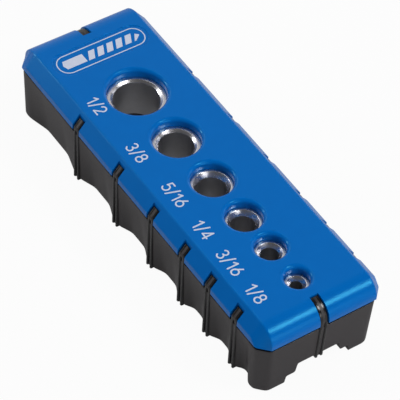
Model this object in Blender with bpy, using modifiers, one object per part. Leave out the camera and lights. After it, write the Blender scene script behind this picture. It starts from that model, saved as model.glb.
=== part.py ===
"""Hand-held drill guide block: a moulded cover on a moulded base, with six steel guide bushings in a row.

Metres, +Z up. The origin is at the centre of the feet, on the surface that the block stands on.
+Y runs along the block, from the 1/8 inch bushing at the front to the 1/2 inch bushing at the back.
"""

import math

import bmesh
import bpy

MM = 0.001
INCH = 25.4 * MM

# Row of drill sizes, from the back of the block to the front
DRILLS = (
    ("1_2", INCH / 2),
    ("3_8", INCH * 3 / 8),
    ("5_16", INCH * 5 / 16),
    ("1_4", INCH / 4),
    ("3_16", INCH * 3 / 16),
    ("1_8", INCH / 8),
)
PITCHES = (19.3 * MM, 16.7 * MM, 14.5 * MM, 11.85 * MM, 11.8 * MM)
BACK_MARGIN = 30.7 * MM
FRONT_MARGIN = 12.6 * MM

# Block
WIDTH = 38.0 * MM
BASE_HEIGHT = 18.25 * MM
COVER_HEIGHT = 5.7 * MM
SEAM = 0.3 * MM
CLEARANCE = 0.25 * MM

# Cover
LIP_HEIGHT = 1.95 * MM
CHAMFER_INSET = 3.0 * MM
CORNER_LEG = 3.05 * MM
CORNER_LIP = 0.15 * MM
LIP_FADE = 2.4 * MM
NOSE_DEPTH = 5.8 * MM
NOSE_LAND = 0.8 * MM
NOSE_STEPS = 8
COVER_PLATE = 2.8 * MM
COVER_WALL = 3.55 * MM
HOLE_ROUND = 1.1 * MM
BUSHING_DROP = 2.6 * MM
PANEL_LENGTH = 29.0 * MM
PANEL_WIDTH = 8.8 * MM
PANEL_DEPTH = 0.3 * MM
PANEL_ROUND = 4.2 * MM
PANEL_SETBACK = 12.8 * MM

# Alignment ribs and the notches that they come up through
NOTCH_WIDTH = 3.1 * MM
END_NOTCH_WIDTH = 2.7 * MM
NOTCH_START = 0.8 * MM
NOTCH_WALL = 1.25 * MM
RIB_WIDTH = 2.4 * MM
RIB_GROOVE = 0.75 * MM
RIB_GROOVE_DEPTH = 0.45 * MM
RIB_SINK = 0.35 * MM
RIB_LIP_SINK = 0.05 * MM
END_RIB_FOOT = 5.3 * MM
RIB_FOOT = 0.25 * MM
RIB_DRAFT = 0.45 * MM

# Base
SIDE_DRAFT = 0.7 * MM
END_DRAFT = 0.4 * MM
BASE_CORNER_LEG = 2.75 * MM
SCALLOP_DEPTH = 1.9 * MM
SCALLOP_RAMP_SHARE = 0.28
PEAK_HALF_WIDTH = 1.3 * MM
CORNER_PEAK = 5.1 * MM
GROOVE_MOUTH = 10.15 * MM
GROOVE_STEP = 3.2 * MM
GROOVE_DRAFT = 0.5 * MM
SOCKET_WALL = 1.3 * MM
POCKET_FLOOR = 8.6 * MM
POCKET_WALL = 3.0 * MM
POCKET_WEB = 1.2 * MM
POCKET_LEAST = 2.0 * MM

# Bushings
BUSHING_WALL = 1.75 * MM
BUSHING_LENGTH = 12.7 * MM
BUSHING_CHAMFER = 0.95 * MM
BUSHING_CHAMFER_DEPTH = 0.6 * MM
BUSHING_EDGE = 0.15 * MM
RELIEF = 0.4 * MM

# Cover screws
SCREW_SHANK = 2.8 * MM
SCREW_HEAD = 5.0 * MM
SCREW_HEAD_HEIGHT = 1.9 * MM
SCREW_LENGTH = 15.5 * MM
SCREW_SEAT = 6.0 * MM
SCREW_END_MARGIN = 5.5 * MM
SCREW_GAP = 0.2 * MM
SCREW_SLOT = 0.9 * MM
SCREW_SLOT_LENGTH = 3.0 * MM
SCREW_SLOT_DEPTH = 1.1 * MM

ROUND_SEGMENTS = 40
SCREW_SEGMENTS = 24
OVERCUT = 1.0 * MM

# Sizes that follow from those above
LENGTH = BACK_MARGIN + sum(PITCHES) + FRONT_MARGIN
TOP = BASE_HEIGHT + COVER_HEIGHT
HALF_LENGTH = LENGTH / 2
HALF_WIDTH = WIDTH / 2
HOLE_PLACES = [HALF_LENGTH - BACK_MARGIN - sum(PITCHES[:count]) for count in range(len(DRILLS))]
BUSHING_TOP = TOP - BUSHING_DROP
BUSHING_BOTTOM = BUSHING_TOP - BUSHING_LENGTH
LIP_TOP = BASE_HEIGHT + LIP_HEIGHT
CHAMFER_TOP_X = HALF_WIDTH - CHAMFER_INSET
CHAMFER_DROP = TOP - LIP_TOP
NOSE_START = HALF_LENGTH - NOSE_DEPTH
PLATE_UNDERSIDE = TOP - COVER_PLATE
BASE_TOP = BASE_HEIGHT - SEAM
BASE_X = HALF_WIDTH - SEAM
BASE_Y = HALF_LENGTH - SEAM
FOOT_X = BASE_X - SIDE_DRAFT
FOOT_Y = BASE_Y - END_DRAFT
GROOVE_CEILING = 2 * GROOVE_STEP
SCREW_X = (GROOVE_MOUTH + FOOT_X) / 2
SCREW_Y = HALF_LENGTH - SCREW_END_MARGIN


def collection(name):
    made = bpy.data.collections.new(name)
    bpy.context.scene.collection.children.link(made)
    return made


def material(name, colour, metallic, roughness):
    made = bpy.data.materials.new(name)
    made.use_nodes = True
    shader = made.node_tree.nodes["Principled BSDF"]
    shader.inputs["Base Color"].default_value = (*colour, 1.0)
    shader.inputs["Metallic"].default_value = metallic
    shader.inputs["Roughness"].default_value = roughness
    made.diffuse_color = (*colour, 1.0)
    return made


def solid(name, shape, where):
    """An object in the given collection from a bmesh, with its faces turned outwards."""
    bmesh.ops.recalc_face_normals(shape, faces=shape.faces)
    mesh = bpy.data.meshes.new(name)
    shape.to_mesh(mesh)
    shape.free()
    made = bpy.data.objects.new(name, mesh)
    where.objects.link(made)
    if where is CUTTERS:
        made.hide_render = True
        made.display_type = "WIRE"
    return made


def prism(shape, outline, low, high, axis):
    """Adds a closed outline pushed along the axis from low to high. The outline runs across the other two axes."""
    across = {"X": (1, 2), "Y": (0, 2), "Z": (0, 1)}[axis]
    along = "XYZ".index(axis)
    corners = []
    for point in outline:
        place = [0.0, 0.0, 0.0]
        place[across[0]], place[across[1]] = point
        place[along] = low
        corners.append(shape.verts.new(place))
    face = shape.faces.new(corners)
    pushed = bmesh.ops.extrude_face_region(shape, geom=[face])["geom"]
    step = [0.0, 0.0, 0.0]
    step[along] = high - low
    bmesh.ops.translate(shape, vec=step, verts=[item for item in pushed if isinstance(item, bmesh.types.BMVert)])


def block(shape, low, high):
    """Adds a box between two corners."""
    outline = [(low[0], low[1]), (high[0], low[1]), (high[0], high[1]), (low[0], high[1])]
    prism(shape, outline, low[2], high[2], "Z")


def turned(name, profile, place, where, segments, closed):
    """A turned piece from its half section, which runs down its outer side, as (radius, height) points."""
    mesh = bpy.data.meshes.new(name)
    edges = [(index, index + 1) for index in range(len(profile) - 1)]
    if closed:
        edges.append((len(profile) - 1, 0))
    mesh.from_pydata([(radius, 0.0, height) for radius, height in profile], edges, [])
    made = bpy.data.objects.new(name, mesh)
    made.location = place
    where.objects.link(made)
    turn = made.modifiers.new("turn", "SCREW")
    turn.steps = segments
    turn.render_steps = segments
    turn.use_smooth_shade = True
    turn.use_merge_vertices = not closed
    turn.merge_threshold = 0.00001
    if where is CUTTERS:
        made.hide_render = True
        made.display_type = "WIRE"
    return made


def cylinders(name, discs, segments, where):
    """One helper of separate upright cylinders, each given as (x, y, radius, low, high)."""
    shape = bmesh.new()
    for x, y, radius, low, high in discs:
        ring = []
        for index in range(segments):
            angle = 2 * math.pi * index / segments
            ring.append((x + radius * math.cos(angle), y + radius * math.sin(angle)))
        prism(shape, ring, low, high, "Z")
    return solid(name, shape, where)


def combine(target, tool, operation, crossing=False):
    """Joins the tool to the target or cuts it away. Crossing is for a tool whose own bodies may run into each other."""
    step = target.modifiers.new(tool.name, "BOOLEAN")
    step.operation = operation
    step.solver = "EXACT"
    step.use_self = crossing
    step.object = tool


def nose_profile(inset, steps):
    """The rounded end of the cover in side view, from the top face down to the land, as (y, z) points."""
    points = []
    for index in range(steps + 1):
        angle = math.pi / 2 * index / steps
        reach = (NOSE_DEPTH - inset) * math.sin(angle)
        rise = (COVER_HEIGHT - NOSE_LAND - inset) * math.cos(angle)
        points.append((NOSE_START + reach, BASE_HEIGHT + NOSE_LAND + rise))
    return points


def cover_section(y):
    """Half section of the cover at a place along its length: lip foot, lip top and the edge of the top face."""
    away = abs(y)
    corner_start = HALF_LENGTH - CORNER_LEG
    lip_x = HALF_WIDTH - max(0.0, away - corner_start) * (HALF_WIDTH - CHAMFER_TOP_X) / CORNER_LEG
    fade = min(1.0, max(0.0, (away - corner_start + LIP_FADE) / LIP_FADE))
    lip_top = BASE_HEIGHT + LIP_HEIGHT + (CORNER_LIP - LIP_HEIGHT) * fade
    turn = min(1.0, max(0.0, (away - NOSE_START) / NOSE_DEPTH))
    top = BASE_HEIGHT + NOSE_LAND + (COVER_HEIGHT - NOSE_LAND) * math.sqrt(1 - turn * turn)
    return [(lip_x, BASE_HEIGHT), (lip_x, lip_top), (CHAMFER_TOP_X, top)]


def cover_stations():
    """Places along the cover where its section changes, from front to back."""
    half = {point[0] for point in nose_profile(0.0, NOSE_STEPS)}
    half.add(HALF_LENGTH - CORNER_LEG)
    half.add(HALF_LENGTH - CORNER_LEG - LIP_FADE)
    return sorted([-y for y in half] + list(half))


def cover_blank():
    """The cover's outer form, lofted through its sections."""
    shape = bmesh.new()
    rings = []
    for y in cover_stations():
        right = cover_section(y)
        left = [(-x, z) for x, z in reversed(right)]
        rings.append([shape.verts.new((x, y, z)) for x, z in right + left])
    for near, far in zip(rings, rings[1:]):
        for index in range(len(near)):
            after = (index + 1) % len(near)
            shape.faces.new((near[index], near[after], far[after], far[index]))
    shape.faces.new(rings[0])
    shape.faces.new(rings[-1])
    return solid("top_cover", shape, PARTS)


def hole_cutter(name, radius, y):
    """Cuts one hole of the cover, whose upper edge is rounded over."""
    profile = [(0.0, TOP + OVERCUT), (radius + HOLE_ROUND, TOP + OVERCUT)]
    for index in range(6):
        angle = math.pi / 2 * index / 5
        out = radius + HOLE_ROUND * (1 - math.sin(angle))
        down = TOP - HOLE_ROUND * (1 - math.cos(angle))
        profile.append((out, down))
    profile += [(radius, BASE_HEIGHT - OVERCUT), (0.0, BASE_HEIGHT - OVERCUT)]
    return turned("cut_hole_" + name, profile, (0.0, y, 0.0), CUTTERS, ROUND_SEGMENTS, False)


def rounded_rectangle(half_x, half_y, radius, centre_y):
    outline = []
    for quarter in range(4):
        corner_x = (half_x - radius) * (1 if quarter in (0, 3) else -1)
        corner_y = (half_y - radius) * (1 if quarter in (0, 1) else -1)
        for index in range(5):
            angle = math.pi / 2 * (quarter + index / 4)
            outline.append((corner_x + radius * math.cos(angle), centre_y + corner_y + radius * math.sin(angle)))
    return outline


def notch_cutter():
    """The notches in the cover's edges, one at each end of every hole's cross line and one at each end."""
    shape = bmesh.new()
    low, high = BASE_HEIGHT - OVERCUT, TOP + OVERCUT
    start, end = CHAMFER_TOP_X + NOTCH_START, HALF_WIDTH + OVERCUT
    for y in HOLE_PLACES:
        near, far = y - NOTCH_WIDTH / 2, y + NOTCH_WIDTH / 2
        block(shape, (start, near, low), (end, far, high))
        block(shape, (-end, near, low), (-start, far, high))
    reach = HALF_LENGTH + OVERCUT
    half = END_NOTCH_WIDTH / 2
    block(shape, (-half, NOSE_START, low), (half, reach, high))
    block(shape, (-half, -reach, low), (half, -NOSE_START, high))
    return solid("cut_notches", shape, CUTTERS)


def make_cover():
    cover = cover_blank()
    shape = bmesh.new()
    inner_x = HALF_WIDTH - COVER_WALL
    inner_y = NOSE_START - NOTCH_WALL
    block(shape, (-inner_x, -inner_y, BASE_HEIGHT - OVERCUT), (inner_x, inner_y, PLATE_UNDERSIDE))
    combine(cover, solid("cut_cover_inside", shape, CUTTERS), "DIFFERENCE")
    for (size, bore), y in zip(DRILLS, HOLE_PLACES):
        radius = bore / 2 + BUSHING_WALL + CLEARANCE
        combine(cover, hole_cutter(size, radius, y), "DIFFERENCE")
    combine(cover, notch_cutter(), "DIFFERENCE")
    shape = bmesh.new()
    outline = rounded_rectangle(PANEL_LENGTH / 2, PANEL_WIDTH / 2, PANEL_ROUND, HALF_LENGTH - PANEL_SETBACK)
    prism(shape, outline, TOP - PANEL_DEPTH, TOP + OVERCUT, "Z")
    combine(cover, solid("cut_panel", shape, CUTTERS), "DIFFERENCE")
    pilot = SCREW_SHANK / 2 + SCREW_GAP
    tip = SCREW_SEAT + SCREW_LENGTH + SCREW_GAP
    discs = [(x, y, pilot, BASE_HEIGHT - OVERCUT, tip) for x, y in screw_places()]
    combine(cover, cylinders("cut_pilot_holes", discs, SCREW_SEGMENTS, CUTTERS), "DIFFERENCE")
    cover.data.materials.append(BLUE)
    return cover


def scallop_line():
    """The right side's lower edge from front to back, as (y, depth) points of the hand scallops."""
    corner = FOOT_Y - CORNER_PEAK
    starts = [-corner] + [y + PEAK_HALF_WIDTH for y in reversed(HOLE_PLACES)]
    ends = [y - PEAK_HALF_WIDTH for y in reversed(HOLE_PLACES)] + [corner]
    points = []
    for start, end in zip(starts, ends):
        ramp = (end - start) * SCALLOP_RAMP_SHARE
        points += [(start, 0.0), (start + ramp, SCALLOP_DEPTH), (end - ramp, SCALLOP_DEPTH), (end, 0.0)]
    return points


def base_outline(half_x, half_y, leg, depth_share):
    """Outline of the base, seen from above, starting at the right side's front."""
    right = [(half_x, -half_y + leg)]
    right += [(half_x - depth * depth_share, y) for y, depth in scallop_line()]
    right.append((half_x, half_y - leg))
    left = [(-x, y) for x, y in reversed(right)]
    back = [(half_x - leg, half_y), (-half_x + leg, half_y)]
    front = [(-half_x + leg, -half_y), (half_x - leg, -half_y)]
    return right + back + left + front


def base_blank():
    """The base's outer form: a straight outline at the top, ruled down to the scalloped outline of the feet."""
    shape = bmesh.new()
    lower = base_outline(FOOT_X, FOOT_Y, BASE_CORNER_LEG, 1.0)
    upper = base_outline(BASE_X, BASE_Y, CORNER_LEG, 0.0)
    low = [shape.verts.new((x, y, 0.0)) for x, y in lower]
    high = [shape.verts.new((x, y, BASE_TOP)) for x, y in upper]
    for index in range(len(low)):
        after = (index + 1) % len(low)
        shape.faces.new((low[index], low[after], high[after], high[index]))
    shape.faces.new(low)
    shape.faces.new(high)
    return solid("base_body", shape, PARTS)


def side_rib_outline():
    """Right rib in end view: up the wall, past the lip and over the chamfer, a little below its surface."""
    face = HALF_WIDTH - RIB_LIP_SINK
    slope = CHAMFER_DROP / CHAMFER_INSET
    drop = RIB_SINK * math.hypot(CHAMFER_INSET, CHAMFER_DROP) / CHAMFER_INSET
    inner = CHAMFER_TOP_X + NOTCH_START + SEAM
    bend = LIP_TOP - drop + (HALF_WIDTH - face) * slope
    end = LIP_TOP - drop + (HALF_WIDTH - inner) * slope
    return [(inner, RIB_FOOT), (face - RIB_DRAFT, RIB_FOOT), (face, bend), (inner, end)]


def end_rib_outline(depth):
    """Back rib in side view, down to the given depth below its face: over the nose and down the end wall."""
    low = FOOT_Y + SEAM + END_DRAFT * END_RIB_FOOT / BASE_TOP
    points = [(low - depth, END_RIB_FOOT)]
    over = [point for point in nose_profile(RIB_SINK + depth, NOSE_STEPS) if point[0] > NOSE_START + SEAM]
    points += reversed(over)
    points.append((NOSE_START + SEAM, over[0][1]))
    points.append((NOSE_START + SEAM, BASE_HEIGHT - SEAM - OVERCUT))
    points.append((low - depth - OVERCUT, END_RIB_FOOT + OVERCUT))
    return points


def make_ribs():
    """All the ribs as one helper, which the base takes in."""
    shape = bmesh.new()
    half = RIB_WIDTH / 2
    right = side_rib_outline()
    for y in HOLE_PLACES:
        prism(shape, right, y - half, y + half, "Y")
        prism(shape, [(-x, z) for x, z in right], y - half, y + half, "Y")
    back = end_rib_outline(0.0)
    prism(shape, back, -half, half, "X")
    prism(shape, [(-y, z) for y, z in back], -half, half, "X")
    return solid("add_ribs", shape, CUTTERS)


def make_rib_grooves():
    """The line down the middle of each rib's wall part."""
    shape = bmesh.new()
    half = RIB_GROOVE / 2
    inner = HALF_WIDTH - RIB_LIP_SINK - RIB_GROOVE_DEPTH
    outer = HALF_WIDTH + OVERCUT
    side = [(inner - RIB_DRAFT, -OVERCUT), (outer, -OVERCUT), (outer, BASE_TOP), (inner, BASE_TOP)]
    for y in HOLE_PLACES:
        prism(shape, side, y - half, y + half, "Y")
        prism(shape, [(-x, z) for x, z in side], y - half, y + half, "Y")
    low = FOOT_Y + SEAM - RIB_GROOVE_DEPTH
    high = BASE_Y + SEAM - RIB_GROOVE_DEPTH
    reach = HALF_LENGTH + OVERCUT
    wall = [(low, -OVERCUT), (reach, -OVERCUT), (reach, BASE_TOP), (high, BASE_TOP)]
    prism(shape, wall, -half, half, "X")
    prism(shape, [(-y, z) for y, z in wall], -half, half, "X")
    return solid("cut_rib_grooves", shape, CUTTERS)


def groove_cutter():
    """The stepped groove along the underside. Its step corners lie on a 45 degree line."""
    shape = bmesh.new()
    ledge = GROOVE_MOUTH - GROOVE_STEP
    slope = GROOVE_DRAFT / GROOVE_STEP
    right = [
        (GROOVE_MOUTH + slope * OVERCUT, -OVERCUT),
        (GROOVE_MOUTH - GROOVE_DRAFT, GROOVE_STEP),
        (ledge, GROOVE_STEP),
        (ledge - GROOVE_DRAFT, GROOVE_CEILING),
    ]
    outline = right + [(-x, z) for x, z in reversed(right)]
    reach = HALF_LENGTH + OVERCUT
    prism(shape, outline, -reach, reach, "Y")
    return solid("cut_groove", shape, CUTTERS)


def socket_radius(bore):
    return bore / 2 + BUSHING_WALL + CLEARANCE + SOCKET_WALL


def pocket_cutter():
    """Coring pockets from above, between the ribs' cross lines, so that the moulding has even walls."""
    shape = bmesh.new()
    outer = BASE_X - POCKET_WALL
    spaces = []
    radii = [socket_radius(bore) for _, bore in DRILLS]
    for index in range(len(DRILLS) - 1):
        inner = max(radii[index], radii[index + 1]) + POCKET_WEB
        spaces.append((inner, HOLE_PLACES[index + 1], HOLE_PLACES[index]))
    start = HOLE_PLACES[0] + radii[0]
    end = NOSE_START - NOTCH_WALL
    middle = (start + end) / 2
    spaces.append((0.0, start, middle))
    spaces.append((0.0, middle, end))
    for inner, low, high in spaces:
        if outer - inner - POCKET_WEB < POCKET_LEAST or high - low - 2 * POCKET_WEB < POCKET_LEAST:
            continue
        near = (inner + POCKET_WEB, low + POCKET_WEB, POCKET_FLOOR)
        far = (outer, high - POCKET_WEB, BASE_TOP + OVERCUT)
        block(shape, near, far)
        block(shape, (-far[0], near[1], near[2]), (-near[0], far[1], far[2]))
    return solid("cut_pockets", shape, CUTTERS)


def screw_places():
    return [(x, y) for y in (SCREW_Y, -SCREW_Y) for x in (-SCREW_X, SCREW_X)]


def make_base():
    base = base_blank()
    combine(base, groove_cutter(), "DIFFERENCE")
    combine(base, make_ribs(), "UNION")
    combine(base, make_rib_grooves(), "DIFFERENCE")
    sockets = []
    seats = []
    drops = []
    for (_, bore), y in zip(DRILLS, HOLE_PLACES):
        seat = bore / 2 + BUSHING_WALL + CLEARANCE
        sockets.append((0.0, y, seat + SOCKET_WALL, POCKET_FLOOR, PLATE_UNDERSIDE - SEAM))
        seats.append((0.0, y, seat, BUSHING_BOTTOM - SEAM, TOP + OVERCUT))
        drops.append((0.0, y, bore / 2 + RELIEF, GROOVE_STEP, BUSHING_TOP))
    combine(base, cylinders("add_sockets", sockets, ROUND_SEGMENTS, CUTTERS), "UNION", crossing=True)
    combine(base, cylinders("cut_seats", seats, ROUND_SEGMENTS, CUTTERS), "DIFFERENCE")
    combine(base, cylinders("cut_drill_holes", drops, ROUND_SEGMENTS, CUTTERS), "DIFFERENCE")
    combine(base, pocket_cutter(), "DIFFERENCE")
    heads = []
    shanks = []
    for x, y in screw_places():
        heads.append((x, y, SCREW_HEAD / 2 + SCREW_GAP, -OVERCUT, SCREW_SEAT + SCREW_GAP))
        shanks.append((x, y, SCREW_SHANK / 2 + SCREW_GAP, SCREW_SEAT - OVERCUT, BASE_TOP + OVERCUT))
    combine(base, cylinders("cut_screw_heads", heads, SCREW_SEGMENTS, CUTTERS), "DIFFERENCE")
    combine(base, cylinders("cut_screw_holes", shanks, SCREW_SEGMENTS, CUTTERS), "DIFFERENCE")
    base.data.materials.append(BLACK)
    return base


def make_bushing(size, bore, y):
    """A turned bushing, countersunk at both ends of its bore."""
    inner = bore / 2
    outer = inner + BUSHING_WALL
    low, high = BUSHING_BOTTOM, BUSHING_TOP
    profile = [
        (inner + BUSHING_CHAMFER, high),
        (outer - BUSHING_EDGE, high),
        (outer, high - BUSHING_EDGE),
        (outer, low + BUSHING_EDGE),
        (outer - BUSHING_EDGE, low),
        (inner + BUSHING_CHAMFER, low),
        (inner, low + BUSHING_CHAMFER_DEPTH),
        (inner, high - BUSHING_CHAMFER_DEPTH),
    ]
    bushing = turned("bushing_" + size, profile, (0.0, y, 0.0), PARTS, ROUND_SEGMENTS, True)
    bushing.data.materials.append(STEEL)
    return bushing


def make_screw(number, x, y):
    """A pan head screw with a crossed slot, driven up from below."""
    seat = SCREW_SEAT
    profile = [
        (0.0, seat + SCREW_LENGTH),
        (SCREW_SHANK / 4, seat + SCREW_LENGTH),
        (SCREW_SHANK / 2, seat + SCREW_LENGTH - SCREW_SHANK / 2),
        (SCREW_SHANK / 2, seat),
        (SCREW_HEAD / 2, seat),
        (SCREW_HEAD / 2, seat - SCREW_HEAD_HEIGHT / 2),
        (SCREW_HEAD * 0.36, seat - SCREW_HEAD_HEIGHT),
        (0.0, seat - SCREW_HEAD_HEIGHT),
    ]
    screw = turned("cover_screw_%d" % number, profile, (x, y, 0.0), PARTS, SCREW_SEGMENTS, False)
    long, wide = SCREW_SLOT_LENGTH / 2, SCREW_SLOT / 2
    cross = [(long, -wide), (long, wide), (wide, wide), (wide, long), (-wide, long), (-wide, wide)]
    cross += [(-across, -along) for across, along in cross]
    shape = bmesh.new()
    bottom = seat - SCREW_HEAD_HEIGHT
    outline = [(x + across, y + along) for across, along in cross]
    prism(shape, outline, bottom - OVERCUT, bottom + SCREW_SLOT_DEPTH, "Z")
    combine(screw, solid("cut_slot_%d" % number, shape, CUTTERS), "DIFFERENCE")
    screw.data.materials.append(ZINC)
    return screw


for leftover in list(bpy.data.objects):
    bpy.data.objects.remove(leftover, do_unlink=True)

PARTS = collection("drill_guide")
CUTTERS = collection("helpers")
BLUE = material("blue_moulded_plastic", (0.0, 0.117, 0.434), 0.0, 0.38)
BLACK = material("black_moulded_plastic", (0.04, 0.036, 0.04), 0.0, 0.45)
STEEL = material("hardened_steel", (0.62, 0.62, 0.64), 1.0, 0.2)
ZINC = material("zinc_plated_steel", (0.55, 0.56, 0.57), 1.0, 0.35)

make_cover()
make_base()
for (drill, drill_bore), place in zip(DRILLS, HOLE_PLACES):
    make_bushing(drill, drill_bore, place)
for count, (screw_x, screw_y) in enumerate(screw_places(), start=1):
    make_screw(count, screw_x, screw_y)
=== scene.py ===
import math

import bmesh
import bpy
import numpy as np
from mathutils import Matrix, Vector


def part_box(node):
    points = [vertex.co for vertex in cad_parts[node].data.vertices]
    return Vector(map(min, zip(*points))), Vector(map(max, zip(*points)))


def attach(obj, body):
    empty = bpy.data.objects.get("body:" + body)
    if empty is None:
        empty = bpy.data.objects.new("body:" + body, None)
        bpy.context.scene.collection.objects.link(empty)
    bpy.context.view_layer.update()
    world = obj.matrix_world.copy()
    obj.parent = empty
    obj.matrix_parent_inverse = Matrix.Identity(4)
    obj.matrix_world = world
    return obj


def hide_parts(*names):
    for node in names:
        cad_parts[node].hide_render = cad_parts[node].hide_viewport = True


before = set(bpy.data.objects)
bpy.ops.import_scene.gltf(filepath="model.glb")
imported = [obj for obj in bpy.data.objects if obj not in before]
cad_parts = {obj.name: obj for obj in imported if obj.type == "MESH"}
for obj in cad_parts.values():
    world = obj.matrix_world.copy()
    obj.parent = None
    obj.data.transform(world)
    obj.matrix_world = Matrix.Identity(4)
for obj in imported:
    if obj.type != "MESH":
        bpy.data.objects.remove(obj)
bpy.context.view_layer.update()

# Base: one injection moulding in black ABS, with hand scallops along both sides, two feet and a
# stepped groove for dowels and edges underneath. The tool was spark eroded, so the moulding has
# a fine matt grain and soft outer corners. A small rebate sits under the cover. Its faces take the
# near-black polished material as painted shade, for the dark line of shadow under the cover.
MM = 0.001
cover_low, cover_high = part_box("top_cover")
half_width = cover_high.x
half_length = cover_high.y
seam_height = cover_low.z
top_height = cover_high.z

seam = 0.3 * MM
base_top = seam_height - seam
base_x = half_width - seam
base_y = half_length - seam
side_draft = 0.7 * MM
end_draft = 0.4 * MM
foot_x = base_x - side_draft
foot_y = base_y - end_draft
corner_leg = 3.05 * MM
foot_corner_leg = 2.75 * MM
scallop_depth = 1.9 * MM
scallop_ramp_share = 0.28
peak_half_width = 1.3 * MM
corner_peak = 5.1 * MM
outline_pitch = 0.5 * MM
foot_round = 1.1 * MM
top_edge_round = 0.2 * MM
rebate_height = 0.85 * MM
rebate_depth = 1.0 * MM
groove_mouth = 10.15 * MM
groove_step = 3.2 * MM
groove_draft = 0.5 * MM
overcut = 1.0 * MM

drill_sizes = (
    ("1_2", 12.7), ("3_8", 9.525), ("5_16", 7.9375), ("1_4", 6.35), ("3_16", 4.7625), ("1_8", 3.175),
)
bores = []
for size, diameter in drill_sizes:
    low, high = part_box("bushing_" + size)
    bores.append((size, diameter / 2 * MM, (low.y + high.y) / 2, high.x, low.z, high.z))


def linear(code):
    """An sRGB hex colour as linear RGBA."""
    linear_parts = []
    for place in (1, 3, 5):
        part = int(code[place:place + 2], 16) / 255
        linear_parts.append(part / 12.92 if part <= 0.04045 else ((part + 0.055) / 1.055) ** 2.4)
    return tuple(linear_parts) + (1.0,)


def add_node(tree, kind, feeds=None, **settings):
    """Adds a node with its settings. Feeds gives each input a value or the output that it is linked to."""
    node = tree.nodes.new(kind)
    for name, value in settings.items():
        setattr(node, name, value)
    for name, value in (feeds or {}).items():
        if isinstance(value, bpy.types.NodeSocket):
            tree.links.new(value, node.inputs[name])
        else:
            node.inputs[name].default_value = value
    return node


def start_material(name):
    """A bare node material, its tree and the object's coordinates in it."""
    material = bpy.data.materials.new(name)
    material.use_nodes = True
    material.node_tree.nodes.clear()
    place = add_node(material.node_tree, "ShaderNodeTexCoord").outputs["Object"]
    return material, material.node_tree, place


def finish_material(tree, feeds):
    """Puts the shader with its feeds on the material's output."""
    shader = add_node(tree, "ShaderNodeBsdfPrincipled", feeds)
    add_node(tree, "ShaderNodeOutputMaterial", {"Surface": shader.outputs["BSDF"]})


def mesh_object(name, points, faces):
    """An object in the scene from points and faces."""
    mesh = bpy.data.meshes.new(name)
    mesh.from_pydata([tuple(point) for point in points], [], faces)
    made = bpy.data.objects.new(name, mesh)
    bpy.context.scene.collection.objects.link(made)
    return made


def loft(name, rings):
    """A closed body through rings that have the same number of points, with flat ends."""
    count = len(rings[0])
    points = [point for ring in rings for point in ring]
    faces = []
    for level in range(len(rings) - 1):
        for index in range(count):
            after = (index + 1) % count
            near, far = level * count, (level + 1) * count
            faces.append((near + index, near + after, far + after, far + index))
    faces.append(tuple(reversed(range(count))))
    faces.append(tuple(range(len(points) - count, len(points))))
    made = mesh_object(name, points, faces)
    shape = bmesh.new()
    shape.from_mesh(made.data)
    bmesh.ops.recalc_face_normals(shape, faces=shape.faces)
    shape.to_mesh(made.data)
    shape.free()
    return made


def soften(points, reaches, steps):
    """An open line whose inner corners are rounded, each over its own reach along both legs."""
    line = [points[0]]
    for before, corner, after, reach in zip(points, points[1:], points[2:], reaches):
        before, corner, after = (np.array(item, float) for item in (before, corner, after))
        back = np.linalg.norm(before - corner)
        ahead = np.linalg.norm(after - corner)
        near = min(reach, 0.45 * back, 0.45 * ahead)
        start = corner + (before - corner) * near / back
        end = corner + (after - corner) * near / ahead
        for step in range(steps + 1):
            share = step / steps
            line.append(tuple((1 - share) ** 2 * start + 2 * share * (1 - share) * corner + share ** 2 * end))
    line.append(points[-1])
    return line


def prism(outline, low, high, axis):
    """A closed body from an outline, pushed along an axis."""
    rings = []
    for place in (low, high):
        if axis == "X":
            rings.append([(place, first, second) for first, second in outline])
        elif axis == "Y":
            rings.append([(first, place, second) for first, second in outline])
        else:
            rings.append([(first, second, place) for first, second in outline])
    return loft("cutter", rings)


def circle(radius, count, x=0.0, y=0.0):
    """Points round a circle, as (x, y)."""
    angles = [2 * math.pi * index / count for index in range(count)]
    return [(x + radius * math.cos(a), y + radius * math.sin(a)) for a in angles]


def disc(x, y, radius, low, high, count):
    """An upright cylinder."""
    return prism(circle(radius, count, x, y), low, high, "Z")


def combine(target, cutters, operation, own_crossings=False):
    """Cuts away or joins a list of closed bodies, and keeps the result as the target's mesh."""
    if len(cutters) > 1:
        with bpy.context.temp_override(active_object=cutters[0], selected_editable_objects=cutters):
            bpy.ops.object.join()
    step = target.modifiers.new("combine", "BOOLEAN")
    step.operation = operation
    step.solver = "EXACT"
    step.use_self = own_crossings
    step.object = cutters[0]
    keep_evaluated(target)
    bpy.data.objects.remove(cutters[0])


def keep_evaluated(target):
    """Makes what the modifiers give the target's own mesh."""
    graph = bpy.context.evaluated_depsgraph_get()
    mesh = bpy.data.meshes.new_from_object(target.evaluated_get(graph))
    target.modifiers.clear()
    target.data = mesh


def smooth(target, angle):
    """Smooth shading with edges over the angle left crisp, where the large flat faces lead."""
    shape = bmesh.new()
    shape.from_mesh(target.data)
    bmesh.ops.remove_doubles(shape, verts=shape.verts, dist=0.001 * MM)
    shape.to_mesh(target.data)
    shape.free()
    target.data.shade_smooth()
    target.data.set_sharp_from_angle(angle=math.radians(angle))
    leading = target.modifiers.new("leading", "WEIGHTED_NORMAL")
    leading.keep_sharp = True
    keep_evaluated(target)


def dress(target, slot, *nodes):
    """Hangs a finished piece on the frame."""
    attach(target, "root")
    if nodes:
        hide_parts(*nodes)


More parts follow.
